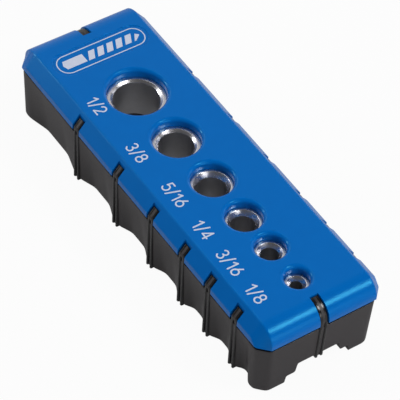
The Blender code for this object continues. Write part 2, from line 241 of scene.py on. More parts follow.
def base_side(half_y):
    """The right side's line from front to back, as (y, scallop depth) kinks."""
    corner = foot_y - corner_peak
    places = sorted(bore[2] for bore in bores)
    starts = [-corner] + [y + peak_half_width for y in places]
    ends = [y - peak_half_width for y in places] + [corner]
    kinks = []
    for start, end in zip(starts, ends):
        ramp = (end - start) * scallop_ramp_share
        kinks += [(start, 0.0), (start + ramp, scallop_depth), (end - ramp, scallop_depth), (end, 0.0)]
    return kinks


def base_outline(half_x, half_y, leg, share):
    """The base's outline anticlockwise, with its corners cut and its scallops at a share of their depth."""
    right = [(half_x, -half_y + leg)]
    right += [(half_x - depth * share, y) for y, depth in base_side(half_y)]
    right.append((half_x, half_y - leg))
    left = [(-x, y) for x, y in reversed(right)]
    back = [(half_x - leg, half_y), (-half_x + leg, half_y)]
    front = [(-half_x + leg, -half_y), (half_x - leg, -half_y)]
    return right + back + left + front


foot_outline = np.array(base_outline(foot_x, foot_y, foot_corner_leg, 1.0))
rim_outline = np.array(base_outline(base_x, base_y, corner_leg, 0.0))
side_lengths = np.linalg.norm(np.roll(rim_outline, -1, 0) - rim_outline, axis=1)
side_counts = np.maximum(1, np.ceil(side_lengths / outline_pitch))


def fine_outline(outline):
    """The outline with points about every half millimetre, the same count at every level."""
    points = []
    for start, end, count in zip(outline, np.roll(outline, -1, 0), side_counts.astype(int)):
        points += [start + (end - start) * step / count for step in range(count)]
    return np.array(points)


foot_points = fine_outline(foot_outline)
rim_points = fine_outline(rim_outline)


def base_ring(height, inset, passes):
    """One level of the base's wall: ruled between foot and rim, with its corners worn soft, then set in."""
    share = min(1.0, max(0.0, height / base_top))
    ring = foot_points + (rim_points - foot_points) * share
    for _ in range(passes):
        ring = 0.25 * np.roll(ring, 1, 0) + 0.5 * ring + 0.25 * np.roll(ring, -1, 0)
    along = np.roll(ring, -1, 0) - np.roll(ring, 1, 0)
    along /= np.linalg.norm(along, axis=1)[:, None]
    ring = ring - np.stack([along[:, 1], -along[:, 0]], 1) * inset
    return [(x, y, height) for x, y in ring]


levels = []
for step in range(7):
    angle = math.pi / 2 * step / 6
    levels.append((foot_round * (1 - math.cos(angle)), foot_round * (1 - math.sin(angle))))
levels += [(height * MM, 0.0) for height in (2.5, 4.5, 7.0, 9.5, 12.0, 14.5, 16.5)]
edge = base_top - rebate_height
for step in range(5):
    angle = math.pi / 2 * step / 4
    levels.append((edge - top_edge_round * (1 - math.sin(angle)), top_edge_round * (1 - math.cos(angle))))
levels += [(edge, rebate_depth), (base_top, rebate_depth)]
rings = []
for height, inset in levels:
    passes = round(5 - 4 * height / base_top)
    rings.append(base_ring(height, inset, passes))
base = loft("base_body_moulding", rings)

groove_flare = 3 * MM
below_foot = -0.02 * MM
ledge = groove_mouth - groove_step
side = [
    (groove_mouth + groove_flare, below_foot),
    (groove_mouth, below_foot),
    (groove_mouth - groove_draft, groove_step),
    (ledge, groove_step),
    (ledge - groove_draft, 2 * groove_step),
    (0.0, 2 * groove_step),
]
side = soften(side, (0.8 * MM, 0.5 * MM, 0.6 * MM, 0.6 * MM), 6)[:-1]
outline = [(groove_mouth + groove_flare, -overcut)] + side
outline += [(-x, z) for x, z in reversed(outline)]
combine(base, [prism(outline, -half_length - overcut, half_length + overcut, "Y")], "DIFFERENCE")

bushing_clearance = 0.25 * MM
socket_wall = 1.3 * MM
pocket_floor = 8.6 * MM
cover_plate = 2.8 * MM
plate_underside = top_height - cover_plate
drop_clearance = 0.4 * MM
segments = 72
sockets, seats, drops = [], [], []
for size, radius, y, rim, low, high in bores:
    seat = rim + bushing_clearance
    sockets.append(disc(0.0, y, seat + socket_wall, pocket_floor, plate_underside - seam, segments))
    seats.append(disc(0.0, y, seat, low - seam, top_height + overcut, segments))
    drops.append(disc(0.0, y, radius + drop_clearance, groove_step, high, segments))
combine(base, sockets, "UNION", True)
combine(base, seats, "DIFFERENCE", True)
combine(base, drops, "DIFFERENCE")

screw_low, screw_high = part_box("cover_screw_4")
screw_x = (screw_low.x + screw_high.x) / 2
screw_y = -(screw_low.y + screw_high.y) / 2
screw_seat = 6.0 * MM
head_hole = 2.7 * MM
shank_hole = 1.6 * MM
heads, shanks = [], []
for x in (-screw_x, screw_x):
    for y in (-screw_y, screw_y):
        heads.append(disc(x, y, head_hole, -overcut, screw_seat + 0.2 * MM, 48))
        shanks.append(disc(x, y, shank_hole, screw_seat - overcut, base_top + overcut, 48))
combine(base, heads, "DIFFERENCE")
combine(base, shanks, "DIFFERENCE")
smooth(base, 40)

# ABS with a spark-eroded grain: dark grey where light strikes the grain, near black in the shade.
# The grain is 0.25 mm, drawn a little coarser than the real one so that it shows.
grained, tree, place = start_material("grained_black_abs")
grain = add_node(tree, "ShaderNodeTexNoise", {"Vector": place, "Scale": 4200.0, "Detail": 3.0})
drift = add_node(tree, "ShaderNodeTexNoise", {"Vector": place, "Scale": 160.0, "Detail": 2.0})
tone = add_node(tree, "ShaderNodeMix", {
    "Factor": drift.outputs["Fac"], "A": linear("#1E1A1D"), "B": linear("#282326"),
}, data_type="RGBA")
rough = add_node(tree, "ShaderNodeMapRange", {"Value": grain.outputs["Fac"], "To Min": 0.36, "To Max": 0.5})
bump = add_node(tree, "ShaderNodeBump", {
    "Height": grain.outputs["Fac"], "Strength": 0.35, "Distance": 0.05 * MM,
})
finish_material(tree, {
    "Base Color": tone.outputs["Result"],
    "Roughness": rough.outputs["Result"],
    "Normal": bump.outputs["Normal"],
    "IOR": 1.53,
    "Specular IOR Level": 0.46,
})
# The same ABS where the tool was polished: a closed, glossy black skin. On the ribs' beads it is their own
# finish. On the rebate under the cover the same near black is painted shade for the shadow there.
polished_black_and_shade, tree, place = start_material("polished_black_abs_and_rebate_shade")
ripple = add_node(tree, "ShaderNodeTexNoise", {"Vector": place, "Scale": 500.0, "Detail": 2.0})
rough = add_node(tree, "ShaderNodeMapRange", {"Value": ripple.outputs["Fac"], "To Min": 0.16, "To Max": 0.3})
bump = add_node(tree, "ShaderNodeBump", {
    "Height": ripple.outputs["Fac"], "Strength": 0.1, "Distance": 0.05 * MM,
})
finish_material(tree, {
    "Base Color": linear("#0B0A0C"),
    "Roughness": rough.outputs["Result"],
    "Normal": bump.outputs["Normal"],
    "IOR": 1.53,
    "Specular IOR Level": 0.4,
})

base.data.materials.clear()
base.data.materials.append(grained)
base.data.materials.append(polished_black_and_shade)
# The rebate's faces under the cover take the near-black polished material: painted shade for the shadow that
# the cover's overhang casts on them.
for face in base.data.polygons:
    if face.center.z > edge - 0.02 * MM:
        face.material_index = 1
dress(base, "black_base", "base_body")

# Ribs: part of the same moulding, on each hole's cross line, so that the block can be set to a
# pencil mark. Each comes up through a notch of the cover. On the wall it is a pair of polished
# beads with a grained channel between them.
rib_width = 2.4 * MM
rib_face = half_width - 0.05 * MM
rib_draft = 0.45 * MM
rib_foot = 0.25 * MM
chamfer_inset = 3.0 * MM
lip_height = 1.95 * MM
lip_top = seam_height + lip_height
chamfer_drop = top_height - lip_top
chamfer_x = half_width - chamfer_inset
notch_start = 0.8 * MM
rib_sink = 0.35 * MM
bead_round = 0.3 * MM
bead_flat = 0.2 * MM
channel_half = 0.35 * MM
channel_depth = 0.45 * MM
nose_depth = 5.8 * MM
nose_land = 0.8 * MM
nose_start = half_length - nose_depth
end_rib_foot = 5.3 * MM


def rib_section(channel):
    """Across the rib: (offset, depth) points over its face, with the channel cut to a share of its depth."""
    half = rib_width / 2
    points = []
    for step in range(8):
        angle = math.pi * (step if step < 4 else step - 1) / 6
        across = -half + bead_round * (1 - math.cos(angle)) + (bead_flat if step > 3 else 0.0)
        points.append((across, bead_round * (1 - math.sin(angle)) * (channel if step > 3 else 1.0)))
    points.append((-channel_half, channel_depth * channel))
    return points + [(-across, depth) for across, depth in reversed(points)]


def rib_strip(name, path, channels, root):
    """A rib along a path of (reach, height) points in its middle plane, sunk into the wall by root."""
    path = np.array(path)
    along = np.gradient(path, axis=0)
    along /= np.linalg.norm(along, axis=1)[:, None]
    outward = np.stack([along[:, 1], -along[:, 0]], 1)
    rings = []
    for point, out, channel in zip(path, outward, channels):
        section = rib_section(channel)
        section = [(-rib_width / 2, root)] + section + [(rib_width / 2, root)]
        ring = []
        for across, depth in section:
            ring.append((point[0] - out[0] * depth, across, point[1] - out[1] * depth))
        rings.append(ring)
    made = loft(name, rings)
    made.data.materials.append(polished_black_and_shade)
    made.data.materials.append(grained)
    middle = len(rings[0]) // 2 - 1
    for face in made.data.polygons:
        if len(face.vertices) == 4 and face.index % len(rings[0]) == middle:
            face.material_index = 1
    return made


slope = chamfer_drop / chamfer_inset
drop = rib_sink * math.hypot(chamfer_inset, chamfer_drop) / chamfer_inset
inner = chamfer_x + notch_start + seam
bend = lip_top - drop + (half_width - rib_face) * slope
end = lip_top - drop + (half_width - inner) * slope
corner_line = soften([(rib_face - rib_draft, rib_foot), (rib_face, bend), (inner, end)], (0.6 * MM,), 6)
wall_heights = [0.0, 0.1, 0.25, 0.5, 1.0, 6.0, 12.0, 17.6, 18.2, 18.6, 19.0]
wall = []
for height in wall_heights:
    z = rib_foot + height * MM
    wall.append((rib_face - rib_draft * (1 - (z - rib_foot) / (bend - rib_foot)), z))
side_path = wall + corner_line[1:]
side_channels = [1.0 if z < 18.3 * MM else max(0.0, 1 - (z - 18.3 * MM) / (0.7 * MM)) for _, z in side_path]
side_rib = rib_strip("side_rib", side_path, side_channels, 1.6 * MM)

end_path = []
low = foot_y + seam + (base_y - foot_y) * end_rib_foot / base_top
for height in (0.0, 0.1, 0.25, 0.5, 1.0, 4.0, 8.0, 11.0, 12.0):
    z = end_rib_foot + height * MM
    end_path.append((low + (base_y - foot_y) * (z - end_rib_foot) / base_top, z))
for step in range(25):
    angle = math.pi / 2 * step / 24
    reach = nose_start + (nose_depth - rib_sink) * math.cos(angle)
    rise = seam_height + nose_land + (top_height - seam_height - nose_land - rib_sink) * math.sin(angle)
    if reach > nose_start + seam and rise > end_path[-1][1]:
        end_path.append((reach, rise))
end_channels = [1.0 if z < 17.9 * MM else max(0.0, 1 - (z - 17.9 * MM) / (0.8 * MM)) for _, z in end_path]
end_rib = rib_strip("end_rib", end_path, end_channels, 1.4 * MM)


def start_tree(name, inputs):
    """A geometry tree with named inputs, given as (name, kind), and what comes in through them."""
    tree = bpy.data.node_groups.new(name, "GeometryNodeTree")
    for label, kind in (("Geometry", "Geometry"),) + inputs:
        tree.interface.new_socket(label, in_out="INPUT", socket_type="NodeSocket" + kind)
    tree.interface.new_socket("Geometry", in_out="OUTPUT", socket_type="NodeSocketGeometry")
    return tree, add_node(tree, "NodeGroupInput").outputs


def rib_tree():
    """Repeats one rib at given places, each turned about the block's upright middle line."""
    tree, given = start_tree("repeat_ribs", (
        ("Rib", "Object"), ("Polished", "Material"), ("Grained", "Material"),
    ))
    rib = add_node(tree, "GeometryNodeObjectInfo", {"Object": given["Rib"]})
    turn = add_node(tree, "GeometryNodeInputNamedAttribute", {"Name": "turn"}, data_type="FLOAT")
    spin = add_node(tree, "ShaderNodeCombineXYZ", {"Z": turn.outputs["Attribute"]})
    spread = add_node(tree, "GeometryNodeInstanceOnPoints", {
        "Points": given["Geometry"],
        "Instance": rib.outputs["Geometry"],
        "Rotation": spin.outputs["Vector"],
    })
    real = add_node(tree, "GeometryNodeRealizeInstances", {"Geometry": spread.outputs["Instances"]})
    index = add_node(tree, "GeometryNodeInputMaterialIndex")
    is_channel = add_node(tree, "FunctionNodeCompare", {
        "A": index.outputs["Material Index"], "B": 1,
    }, data_type="INT", operation="EQUAL")
    channel = add_node(tree, "GeometryNodeStoreNamedAttribute", {
        "Geometry": real.outputs["Geometry"],
        "Name": "channel",
        "Value": is_channel.outputs["Result"],
    }, data_type="BOOLEAN", domain="FACE")
    bead = add_node(tree, "GeometryNodeSetMaterial", {
        "Geometry": channel.outputs["Geometry"], "Material": given["Polished"],
    })
    marked = add_node(tree, "GeometryNodeInputNamedAttribute", {"Name": "channel"}, data_type="BOOLEAN")
    floor = add_node(tree, "GeometryNodeSetMaterial", {
        "Geometry": bead.outputs["Geometry"],
        "Selection": marked.outputs["Attribute"],
        "Material": given["Grained"],
    })
    add_node(tree, "NodeGroupOutput", {"Geometry": floor.outputs["Geometry"]})
    return tree


def run_tree(name, tree, values, points=((0.0, 0.0, 0.0),), attribute=None):
    """Runs a geometry tree on loose points, and keeps the result as a plain mesh."""
    made = mesh_object(name, points, [])
    if attribute:
        turns = made.data.attributes.new(attribute[0], "FLOAT", "POINT")
        turns.data.foreach_set("value", attribute[1])
    step = made.modifiers.new("tree", "NODES")
    step.node_group = tree
    for socket in tree.interface.items_tree:
        if socket.in_out == "INPUT" and socket.name in values:
            step[socket.identifier] = values[socket.name]
    keep_evaluated(made)
    return made


repeat_ribs = rib_tree()
places = [(0.0, bore[2], 0.0) for bore in bores]
side_ribs = run_tree(
    "side_ribs", repeat_ribs, {"Rib": side_rib, "Polished": polished_black_and_shade, "Grained": grained},
    places + places, ("turn", [0.0] * len(places) + [math.pi] * len(places)),
)
end_ribs = run_tree(
    "end_ribs", repeat_ribs, {"Rib": end_rib, "Polished": polished_black_and_shade, "Grained": grained},
    [(0.0, 0.0, 0.0)] * 2, ("turn", [math.pi / 2, -math.pi / 2]),
)
for rib in (side_rib, end_rib):
    bpy.data.objects.remove(rib)
for ribs in (side_ribs, end_ribs):
    smooth(ribs, 35)
    dress(ribs, "black_base")

# Bushings: six steel rings, one for each drill size, turned from bar, hardened and polished. They
# are held upright in the base, with their rims just below the cover's face, and their bores are
# broken at both ends so that a drill finds its way in.
def bushing_tree():
    """A turned ring: a five-sided section with a lead-in to the bore, carried round the upright axis."""
    tree, given = start_tree("turned_bushing", (
        ("Bore Radius", "Float"), ("Wall", "Float"), ("Bottom", "Float"), ("Top", "Float"),
        ("Lead Width", "Float"), ("Lead Depth", "Float"), ("Edge Round", "Float"),
        ("Segments", "Int"), ("Turned", "Material"), ("Reamed", "Material"),
    ))
    # A circle carries its profile with Y pointing down, so heights go in with their sign turned
    low = add_node(tree, "ShaderNodeMath", {0: given["Bottom"], 1: -1.0}, operation="MULTIPLY")
    high = add_node(tree, "ShaderNodeMath", {0: given["Top"], 1: -1.0}, operation="MULTIPLY")
    low, high = low.outputs["Value"], high.outputs["Value"]
    lead = add_node(tree, "ShaderNodeMath", {0: high, 1: given["Lead Depth"]}, operation="ADD")
    lead = lead.outputs["Value"]
    corners = [
        {"Y": low}, {"X": given["Wall"], "Y": low}, {"X": given["Wall"], "Y": high},
        {"X": given["Lead Width"], "Y": high}, {"Y": lead},
    ]
    five = add_node(tree, "GeometryNodeMeshCircle", {"Vertices": 5})
    number = add_node(tree, "GeometryNodeInputIndex")
    choice = add_node(tree, "GeometryNodeIndexSwitch", data_type="VECTOR")
    tree.links.new(number.outputs["Index"], choice.inputs["Index"])
    for _ in range(3):
        choice.index_switch_items.new()
    for place, corner in enumerate(corners):
        point = add_node(tree, "ShaderNodeCombineXYZ", corner)
        tree.links.new(point.outputs["Vector"], choice.inputs[str(place)])
    moved = add_node(tree, "GeometryNodeSetPosition", {
        "Geometry": five.outputs["Mesh"], "Position": choice.outputs["Output"],
    })
    section = add_node(tree, "GeometryNodeMeshToCurve", {"Mesh": moved.outputs["Geometry"]})
    soft = add_node(tree, "GeometryNodeFilletCurve", {
        "Curve": section.outputs["Curve"], "Count": 6, "Radius": given["Edge Round"],
    }, mode="POLY")
    track = add_node(tree, "GeometryNodeCurvePrimitiveCircle", {
        "Resolution": given["Segments"], "Radius": given["Bore Radius"],
    })
    swept = add_node(tree, "GeometryNodeCurveToMesh", {
        "Curve": track.outputs["Curve"], "Profile Curve": soft.outputs["Curve"],
    })
    real = add_node(tree, "GeometryNodeRealizeInstances", {"Geometry": swept.outputs["Mesh"]})
    outside = add_node(tree, "GeometryNodeSetMaterial", {
        "Geometry": real.outputs["Geometry"], "Material": given["Turned"],
    })
    place = add_node(tree, "GeometryNodeInputPosition")
    flat = add_node(tree, "ShaderNodeVectorMath", {
        0: place.outputs["Position"], 1: (1.0, 1.0, 0.0),
    }, operation="MULTIPLY")
    away = add_node(tree, "ShaderNodeVectorMath", {0: flat.outputs["Vector"]}, operation="LENGTH")
    past_bore = add_node(tree, "ShaderNodeMath", {
        0: away.outputs["Value"], 1: given["Bore Radius"],
    }, operation="SUBTRACT")
    in_bore = add_node(tree, "ShaderNodeMath", {
        0: past_bore.outputs["Value"], 1: 0.02 * MM,
    }, operation="LESS_THAN")
    bore_wall = add_node(tree, "GeometryNodeSetMaterial", {
        "Geometry": outside.outputs["Geometry"],
        "Selection": in_bore.outputs["Value"],
        "Material": given["Reamed"],
    })
    add_node(tree, "NodeGroupOutput", {"Geometry": bore_wall.outputs["Geometry"]})
    return tree


def face_outwards(target):
    """Merges what coincides and turns every face outwards."""
    shape = bmesh.new()
    shape.from_mesh(target.data)
    bmesh.ops.remove_doubles(shape, verts=shape.verts, dist=0.001 * MM)
    bmesh.ops.recalc_face_normals(shape, faces=shape.faces)
    shape.to_mesh(target.data)
    shape.free()


# The reamed bores keep the skin of the hardening bath: a smoky grey metal with a soft sheen.
reamed, tree, place = start_material("reamed_bearing_steel")
smoke = add_node(tree, "ShaderNodeTexNoise", {"Vector": place, "Scale": 600.0, "Detail": 3.0})
rough = add_node(tree, "ShaderNodeMapRange", {"Value": smoke.outputs["Fac"], "To Min": 0.34, "To Max": 0.48})
tint = add_node(tree, "ShaderNodeMix", {
    "Factor": smoke.outputs["Fac"], "A": linear("#B2B2B6"), "B": linear("#C2C2C6"),
}, data_type="RGBA")
finish_material(tree, {
    "Base Color": tint.outputs["Result"],
    "Metallic": 1.0,
    "Roughness": rough.outputs["Result"],
})

turned_bushing = bushing_tree()
edge_round = 0.16 * MM
# The lead-in of each bushing: its width on the rim and its depth, in millimetres
leads = {
    "1_2": (0.72, 0.6), "3_8": (0.72, 0.65), "5_16": (1.0, 1.4),
    "1_4": (1.0, 1.4), "3_16": (0.9, 1.0), "1_8": (0.9, 1.0),
}
for size, radius, y, rim, low, high in bores:
    # Hardened bearing steel with a bright turned skin: fine rings from the tool run round it. They
    # are drawn about 0.3 mm apart with finer ones between, coarser than the real ones, to show.
    steel, tree, place = start_material("turned_bearing_steel_" + size)
    centred = add_node(tree, "ShaderNodeMapping", {"Vector": place, "Location": (0.0, -y, 0.0)})
    parts = add_node(tree, "ShaderNodeSeparateXYZ", {"Vector": centred.outputs["Vector"]})
    flat = add_node(tree, "ShaderNodeCombineXYZ", {"X": parts.outputs["X"], "Y": parts.outputs["Y"]})
    away = add_node(tree, "ShaderNodeVectorMath", {"Vector": flat.outputs["Vector"]}, operation="LENGTH")
    rings_at = add_node(tree, "ShaderNodeCombineXYZ", {"X": away.outputs["Value"], "Y": parts.outputs["Z"]})
    marks = add_node(tree, "ShaderNodeTexNoise", {
        "Vector": rings_at.outputs["Vector"], "Scale": 3200.0, "Detail": 3.0,
    })
    blotch = add_node(tree, "ShaderNodeTexNoise", {"Vector": place, "Scale": 350.0, "Detail": 3.0})
    rough = add_node(tree, "ShaderNodeMapRange", {
        "Value": blotch.outputs["Fac"], "To Min": 0.2, "To Max": 0.34,
    })
    tint = add_node(tree, "ShaderNodeMix", {
        "Factor": blotch.outputs["Fac"], "A": linear("#C9C7CB"), "B": linear("#DAD9DE"),
    }, data_type="RGBA")
    bump = add_node(tree, "ShaderNodeBump", {
        "Height": marks.outputs["Fac"], "Strength": 0.5, "Distance": 0.03 * MM,
    })
    finish_material(tree, {
        "Base Color": tint.outputs["Result"],
        "Metallic": 1.0,
        "Roughness": rough.outputs["Result"],
        "Normal": bump.outputs["Normal"],
    })
    bushing = run_tree("steel_bushing_" + size, turned_bushing, {
        "Bore Radius": radius, "Wall": rim - radius, "Bottom": low, "Top": high,
        "Lead Width": leads[size][0] * MM, "Lead Depth": leads[size][1] * MM, "Edge Round": edge_round,
        "Segments": 128, "Turned": steel, "Reamed": reamed,
    })
    bushing.data.transform(Matrix.Translation((0.0, y, 0.0)))
    face_outwards(bushing)
    smooth(bushing, 40)
    dress(bushing, "hardened_steel", "bushing_" + size)

# Cover screws: four zinc-plated pan head screws with a crossed slot, driven up through the feet
# into the cover. Only their heads show, deep in the feet.
screw_top = screw_high.z
head_radius = 2.5 * MM
head_height = 1.9 * MM
shank_radius = 1.4 * MM
thread_pitch = 1.0 * MM
thread_depth = 0.22 * MM
slot_width = 0.75 * MM
slot_half = 1.65 * MM
slot_depth = 1.0 * MM


def screw_mesh():
    """One screw, head down at the seat's height: a domed head, then a shank with ridges for its thread."""
    bottom = screw_seat - head_height
    profile = [(0.0, bottom)]
    for step in range(9):
        angle = math.pi / 2 * step / 8
        reach = head_radius * (0.55 + 0.45 * math.sin(angle))
        profile.append((reach, bottom + head_height * 0.75 * (1 - math.cos(angle))))
    profile += [(head_radius, screw_seat), (shank_radius, screw_seat)]
    height = screw_seat + 0.5 * MM
    while height < screw_top - 2.0 * MM:
        profile += [(shank_radius - thread_depth, height), (shank_radius, height + 0.5 * thread_pitch)]
        height += thread_pitch
    profile += [(shank_radius - thread_depth, height), (0.4 * MM, screw_top), (0.0, screw_top)]
    rings = []
    for radius, height in profile[1:-1]:
        rings.append([(x, y, height) for x, y in circle(radius, 32)])
    made = loft("cover_screw", rings)
    arm, width, floor = slot_half, slot_width / 2, bottom + slot_depth
    cross = [
        (arm, -width), (arm, width), (width, width), (width, arm), (-width, arm), (-width, width),
        (-arm, width), (-arm, -width), (-width, -width), (-width, -arm), (width, -arm), (width, -width),
    ]
    combine(made, [prism(cross, bottom - overcut, floor, "Z")], "DIFFERENCE")
    return made


def screw_tree():
    """Stands the screw at the four corners of a rectangle."""
    tree, given = start_tree("four_screws", (
        ("Screw", "Object"), ("Across", "Float"), ("Along", "Float"), ("Material", "Material"),
    ))
    grid = add_node(tree, "GeometryNodeMeshGrid", {
        "Size X": given["Across"], "Size Y": given["Along"], "Vertices X": 2, "Vertices Y": 2,
    })
    screw = add_node(tree, "GeometryNodeObjectInfo", {"Object": given["Screw"]})
    turn = add_node(tree, "FunctionNodeRandomValue", {
        "Max": (0.0, 0.0, 1.5), "Seed": 4,
    }, data_type="FLOAT_VECTOR")
    spread = add_node(tree, "GeometryNodeInstanceOnPoints", {
        "Points": grid.outputs["Mesh"],
        "Instance": screw.outputs["Geometry"],
        "Rotation": turn.outputs["Value"],
    })
    real = add_node(tree, "GeometryNodeRealizeInstances", {"Geometry": spread.outputs["Instances"]})
    coated = add_node(tree, "GeometryNodeSetMaterial", {
        "Geometry": real.outputs["Geometry"], "Material": given["Material"],
    })
    add_node(tree, "NodeGroupOutput", {"Geometry": coated.outputs["Geometry"]})
    return tree


# Bright zinc plating on steel: a pale, slightly bluish metal with fine uneven spangle.
zinc, tree, place = start_material("zinc_plated_steel")
spangle = add_node(tree, "ShaderNodeTexNoise", {"Vector": place, "Scale": 1800.0, "Detail": 3.0})
rough = add_node(tree, "ShaderNodeMapRange", {
    "Value": spangle.outputs["Fac"], "To Min": 0.25, "To Max": 0.42,
})
tint = add_node(tree, "ShaderNodeMix", {
    "Factor": spangle.outputs["Fac"], "A": linear("#B9BCC0"), "B": linear("#CFD1D2"),
}, data_type="RGBA")
finish_material(tree, {
    "Base Color": tint.outputs["Result"],
    "Metallic": 1.0,
    "Roughness": rough.outputs["Result"],
})

one_screw = screw_mesh()
screws = run_tree("zinc_screws", screw_tree(), {
    "Screw": one_screw, "Across": 2 * screw_x, "Along": 2 * screw_y, "Material": zinc,
})
bpy.data.objects.remove(one_screw)
smooth(screws, 35)
dress(screws, "zinc_screw", "cover_screw_1", "cover_screw_2", "cover_screw_3", "cover_screw_4")

# Cover: one injection moulding in glossy blue ABS. Its face runs over a chamfer to a short upright
# lip on both sides and rolls down in a rounded nose at both ends. Each bushing sits in a hole with
# a rolled edge.
corner_lip = 0.15 * MM
lip_fade = 2.4 * MM
cover_height = top_height - seam_height
cover_wall = 3.55 * MM
notch_width = 3.1 * MM
end_notch_width = 2.7 * MM
notch_wall = 1.25 * MM


def cover_ring(y):
    """The cover's section at one place along it: lip, chamfer and face, from right to left."""
    away = abs(y)
    corner_start = half_length - corner_leg
    beyond = away - corner_start
    ease = 0.5 * MM
    if beyond < -ease:
        beyond = 0.0
    elif beyond < ease:
        beyond = (beyond + ease) ** 2 / (4 * ease)
    lip_x = half_width - beyond * chamfer_inset / corner_leg
    fade = min(1.0, max(0.0, (away - corner_start + lip_fade) / lip_fade))
    fade = fade * fade * (3 - 2 * fade)
    lip = seam_height + lip_height + (corner_lip - lip_height) * fade
    turn = min(1.0, max(0.0, (away - nose_start) / nose_depth))
    top = seam_height + nose_land + (cover_height - nose_land) * math.sqrt(1 - turn * turn)
    line = [(lip_x, seam_height), (lip_x, lip), (chamfer_x, top), (0.0, top)]
    reaches = (0.25 * MM * (1 - 0.7 * fade), 0.45 * MM)
    half = soften(line, reaches, 5)[:-1]
    half = [(half[0][0] - 0.1 * MM, half[0][1]), (half[0][0], half[0][1] + 0.08 * MM)] + half[1:]
    return [(x, y, z) for x, z in half] + [(-x, y, z) for x, z in reversed(half)]


half_stations = {nose_start, half_length - corner_leg - lip_fade}
for step in range(1, 37):
    half_stations.add(nose_start + nose_depth * math.sin(math.pi / 2 * step / 36))
stations = sorted([-y for y in half_stations] + list(half_stations))
cover = loft("moulded_cover", [cover_ring(y) for y in stations])

inner_x = half_width - cover_wall
inner_y = nose_start - notch_wall
hollow = [(-inner_x, -inner_y), (inner_x, -inner_y), (inner_x, inner_y), (-inner_x, inner_y)]
combine(cover, [prism(hollow, seam_height - overcut, plate_underside, "Z")], "DIFFERENCE")


def rolled_hole(y, radius, roll, segments):
    """A cutter for one hole, whose upper edge rolls over into the face."""
    profile = [(radius, seam_height - overcut)]
    for step in range(13):
        angle = math.pi / 2 * step / 12
        profile.append((radius + roll * (1 - math.cos(angle)), top_height - roll * (1 - math.sin(angle))))
    profile.append((radius + roll, top_height + overcut))
    rings = []
    for reach, height in profile:
        rings.append([(across, along, height) for across, along in circle(reach, segments, 0.0, y)])
    return loft("cutter", rings)


holes = []
hole_gap = 0.05 * MM
hole_roll = 1.1 * MM
for size, radius, y, rim, low, high in bores:
    holes.append(rolled_hole(y, rim + hole_gap, hole_roll, 112))
combine(cover, holes, "DIFFERENCE")

cuts = []
start, stop = chamfer_x + notch_start, half_width + overcut
for bore in bores:
    near, far = bore[2] - notch_width / 2, bore[2] + notch_width / 2
    for outer, inner in ((start, stop), (-stop, -start)):
        outline = [(outer, near), (inner, near), (inner, far), (outer, far)]
        cuts.append(prism(outline, seam_height - overcut, top_height + overcut, "Z"))
for near, far in ((nose_start, half_length + overcut), (-half_length - overcut, -nose_start)):
    half = end_notch_width / 2
    outline = [(-half, near), (half, near), (half, far), (-half, far)]
    cuts.append(prism(outline, seam_height - overcut, top_height + overcut, "Z"))
combine(cover, cuts, "DIFFERENCE")

panel_back = 12.8 * MM
panel_y = half_length - panel_back
panel_half_x = 14.5 * MM
panel_half_y = 4.4 * MM
panel_round = 4.2 * MM
panel_depth = 0.3 * MM


def stadium(inset, height):
    """The panel's outline at a height, set in by a distance."""
    ring = []
    for quarter in range(4):
        corner_x = (panel_half_x - panel_round) * (1 if quarter in (0, 3) else -1)
        corner_y = (panel_half_y - panel_round) * (1 if quarter in (0, 1) else -1)
        for step in range(13):
            angle = math.pi / 2 * (quarter + step / 12)
            reach = panel_round - inset
            x = corner_x + reach * math.cos(angle)
            ring.append((x, panel_y + corner_y + reach * math.sin(angle), height))
    return ring


panel_levels = [
    (0.3 * MM, top_height - panel_depth),
    (0.12 * MM, top_height - 0.8 * panel_depth),
    (0.0, top_height - 0.2 * panel_depth),
    (-0.3 * MM, top_height + 0.05 * MM),
    (-0.3 * MM, top_height + overcut),
]
combine(cover, [loft("cutter", [stadium(inset, height) for inset, height in panel_levels])], "DIFFERENCE")
smooth(cover, 32)

# Glossy ABS, coloured in the pellet: one even saturated blue under a clear, slightly uneven skin
# with the faint flow ripple of a thick moulding. Its sheen keeps some of the blue.
blue, tree, place = start_material("glossy_blue_abs")
ripple = add_node(tree, "ShaderNodeTexNoise", {"Vector": place, "Scale": 260.0, "Detail": 2.0})
fine = add_node(tree, "ShaderNodeTexNoise", {"Vector": place, "Scale": 3000.0, "Detail": 2.0})
tone = add_node(tree, "ShaderNodeMix", {
    "Factor": ripple.outputs["Fac"], "A": linear("#0061B4"), "B": linear("#0065BA"),
}, data_type="RGBA")
rough = add_node(tree, "ShaderNodeMapRange", {"Value": fine.outputs["Fac"], "To Min": 0.18, "To Max": 0.3})
bump = add_node(tree, "ShaderNodeBump", {
    "Height": ripple.outputs["Fac"], "Strength": 0.08, "Distance": 0.1 * MM,
})
finish_material(tree, {
    "Base Color": tone.outputs["Result"],
    "Roughness": rough.outputs["Result"],
    "Normal": bump.outputs["Normal"],
    "IOR": 1.5,
    "Specular IOR Level": 0.34,
    "Specular Tint": (0.1, 0.8, 1.0, 1.0),
})
cover.data.materials.clear()
cover.data.materials.append(blue)
dress(cover, "blue_cover", "top_cover")

# Size marks: the drill sizes in inches, pad printed in a pale ink beside their holes, as thin even
# strokes that read along the block.
ink_height = 0.03 * MM
ink_root = 0.05 * MM
mark_height = 3.3 * MM
stroke = 0.42 * MM


def arc(x, y, radius_x, radius_y, start, stop, steps=16):
    """Points along part of an ellipse, from one angle in degrees to another."""
    angles = [math.radians(start + (stop - start) * step / steps) for step in range(steps + 1)]
    return [(x + radius_x * math.cos(a), y + radius_y * math.sin(a)) for a in angles]


